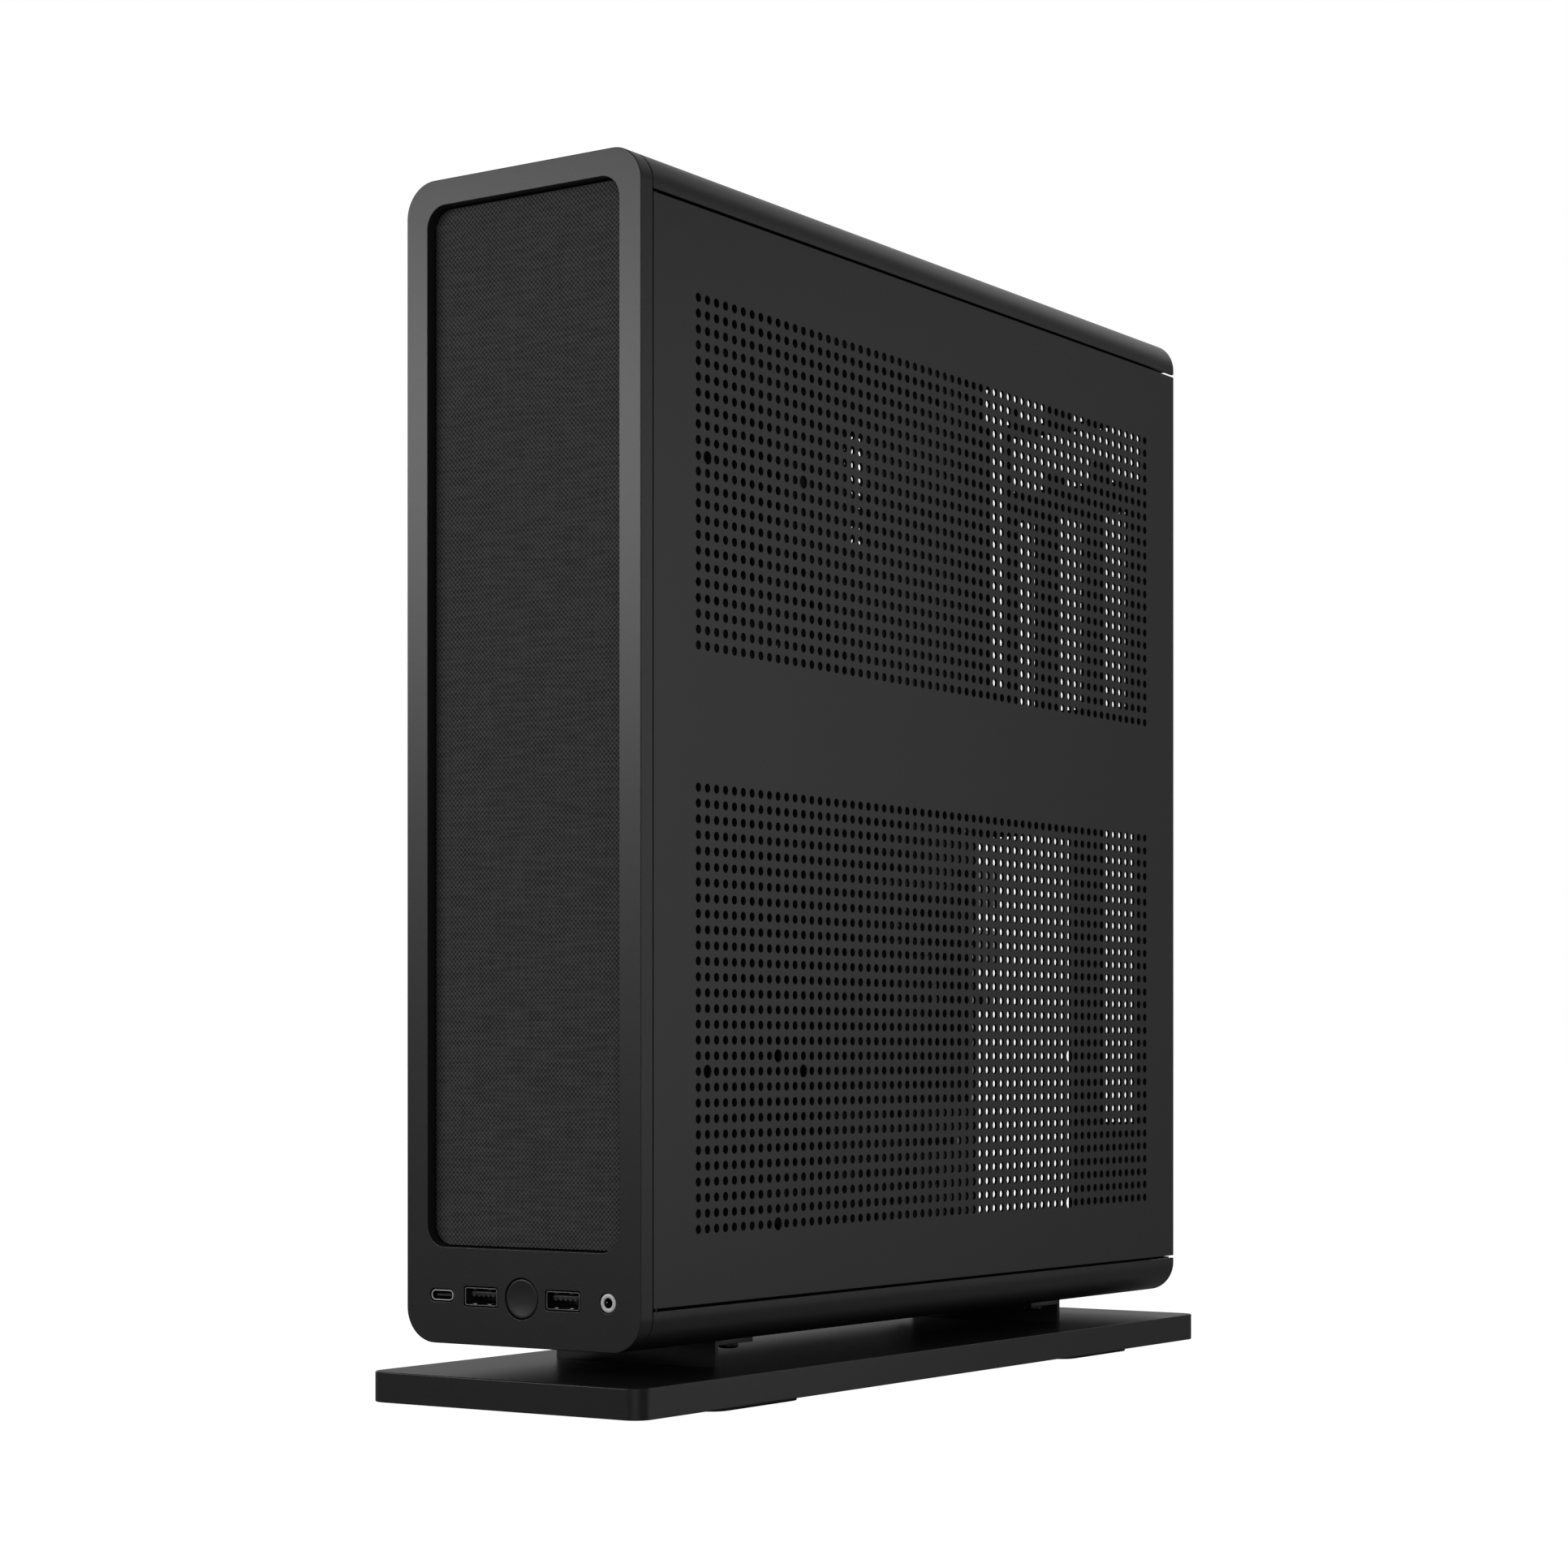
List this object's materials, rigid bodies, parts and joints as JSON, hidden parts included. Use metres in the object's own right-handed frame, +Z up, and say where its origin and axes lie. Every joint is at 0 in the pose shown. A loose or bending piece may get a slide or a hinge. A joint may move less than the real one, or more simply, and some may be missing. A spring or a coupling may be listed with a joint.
{
  "type": "mini pc",
  "caption": "Slim upright desktop computer: perforated metal case with a fabric front and front ports, held on a flat rectangular stand by two brackets.",
  "frame": {"origin": "middle of the stand, on the surface that the object stands on", "axes": "+Z up, -Y out of the fabric front, +X to the right as seen from the front"},
  "size_m": [0.1092, 0.3708, 0.3956],
  "materials": {
    "powder_black": "satin",
    "sheet_steel": "matte",
    "supply_case": "matte",
    "fabric": "matte",
    "plastic_black": "matte",
    "rubber": "matte",
    "port_metal": "satin",
    "port_dark": "satin",
    "screw_steel": "satin",
    "circuit_board": "satin",
    "aluminium": "satin",
    "cpu_metal": "satin",
    "cable": "matte"
  },
  "bodies": {
    "case": {"stand_base": "powder_black", "stand_bracket_front": "powder_black", "stand_bracket_rear": "powder_black", "front_frame": "powder_black", "bottom_shell": "powder_black", "top_shell": "powder_black", "rear_panel": "sheet_steel", "front_bulkhead": "sheet_steel", "tray_plate": "sheet_steel", "rail_low": "sheet_steel", "rail_high": "sheet_steel", "power_supply_grille": "sheet_steel", "power_supply_shelf": "sheet_steel", "power_supply": "supply_case", "power_switch": "plastic_black", "intake_fan_frame_low": "plastic_black", "intake_fan_frame_high": "plastic_black", "cpu_fan_frame": "plastic_black", "cpu_socket": "plastic_black", "ram_module_inner": "plastic_black", "ram_module_outer": "plastic_black", "mains_inlet": "plastic_black", "foot_front_left": "rubber", "foot_front_right": "rubber", "foot_rear_left": "rubber", "foot_rear_right": "rubber", "usb_c_port": "port_metal", "audio_jack": "port_metal", "hdmi_port": "port_metal", "usb_a_rear": "port_metal", "usb_c_rear": "port_metal", "usb_a_left": "port_dark", "usb_a_right": "port_dark", "stand_screw_front_left": "screw_steel", "stand_screw_front_right": "screw_steel", "stand_screw_rear_left": "screw_steel", "stand_screw_rear_right": "screw_steel", "front_io_board": "circuit_board", "motherboard": "circuit_board", "cpu_heatsink": "aluminium", "ssd": "aluminium", "cpu": "cpu_metal", "standoff_low_front": "cpu_metal", "standoff_low_rear": "cpu_metal", "standoff_high_front": "cpu_metal", "standoff_high_rear": "cpu_metal", "mains_lead": "cable", "board_power_cable": "cable", "front_port_cable": "cable"},
    "power_button": {"power_button": "powder_black"},
    "side_panel_right": {"side_panel_right": "powder_black"},
    "side_panel_left": {"side_panel_left": "powder_black"},
    "fabric_front": {"fabric_sheet": "fabric", "fabric_carrier": "plastic_black"},
    "intake_fan_low": {"intake_fan_rotor_low": "plastic_black"},
    "intake_fan_high": {"intake_fan_rotor_high": "plastic_black"},
    "cpu_fan": {"cpu_fan_rotor": "plastic_black"},
    "power_supply_fan": {"power_supply_fan_rotor": "plastic_black"},
    "mains_rocker": {"mains_rocker": "plastic_black"}
  },
  "joints": [
    {"name": "power_button_press", "type": "slide", "parent": "case", "child": "power_button", "axis": [0, 1, 0], "range_m": [0, 0.001], "stiffness_N_per_m": 800},
    {"name": "side_panel_right_off", "type": "slide", "parent": "case", "child": "side_panel_right", "axis": [1, 0, 0], "range_m": [0, 0.08]},
    {"name": "side_panel_left_off", "type": "slide", "parent": "case", "child": "side_panel_left", "axis": [-1, 0, 0], "range_m": [0, 0.08]},
    {"name": "fabric_front_off", "type": "slide", "parent": "case", "child": "fabric_front", "axis": [0, -1, 0], "range_m": [0, 0.05]},
    {"name": "intake_fan_low_spin", "type": "hinge", "parent": "case", "child": "intake_fan_low", "pos_m": [0, -0.15515, 0.096], "axis": [0, 1, 0], "continuous": true},
    {"name": "intake_fan_high_spin", "type": "hinge", "parent": "case", "child": "intake_fan_high", "pos_m": [0, -0.15515, 0.18], "axis": [0, 1, 0], "continuous": true},
    {"name": "cpu_fan_spin", "type": "hinge", "parent": "case", "child": "cpu_fan", "pos_m": [-0.00495, 0.061, 0.135], "axis": [1, 0, 0], "continuous": true},
    {"name": "power_supply_fan_spin", "type": "hinge", "parent": "case", "child": "power_supply_fan", "pos_m": [0.0114, -0.1, 0.3055], "axis": [1, 0, 0], "continuous": true},
    {"name": "mains_rocker_tip", "type": "hinge", "parent": "case", "child": "mains_rocker", "pos_m": [0.015, 0.176, 0.228], "axis": [1, 0, 0], "range_deg": [-14, 0]}
  ]
}
